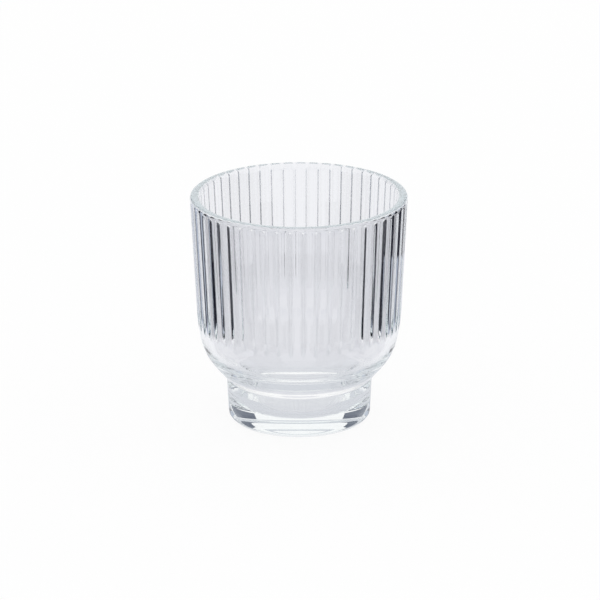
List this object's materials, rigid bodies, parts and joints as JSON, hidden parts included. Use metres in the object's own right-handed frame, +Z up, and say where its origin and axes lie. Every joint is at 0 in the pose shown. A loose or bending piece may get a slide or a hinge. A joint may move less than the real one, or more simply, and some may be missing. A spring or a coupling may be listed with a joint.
{
  "type": "tea glass",
  "caption": "Clear footed drinking glass for tea: a ribbed bowl steps in through a round shoulder to a narrow plain foot, with a plain rounded rim.",
  "frame": {"origin": "centre of the foot's resting plane, on the table", "axes": "+Z up along the glass's axis; the 52 raised ribs repeat round it, turned so that they fall as in the picture, which looks along +Y from the -Y side"},
  "size_m": [0.0838, 0.0838, 0.09],
  "materials": {
    "glass": "clear polished"
  },
  "bodies": {
    "root": {"glass": "glass"}
  },
  "joints": []
}
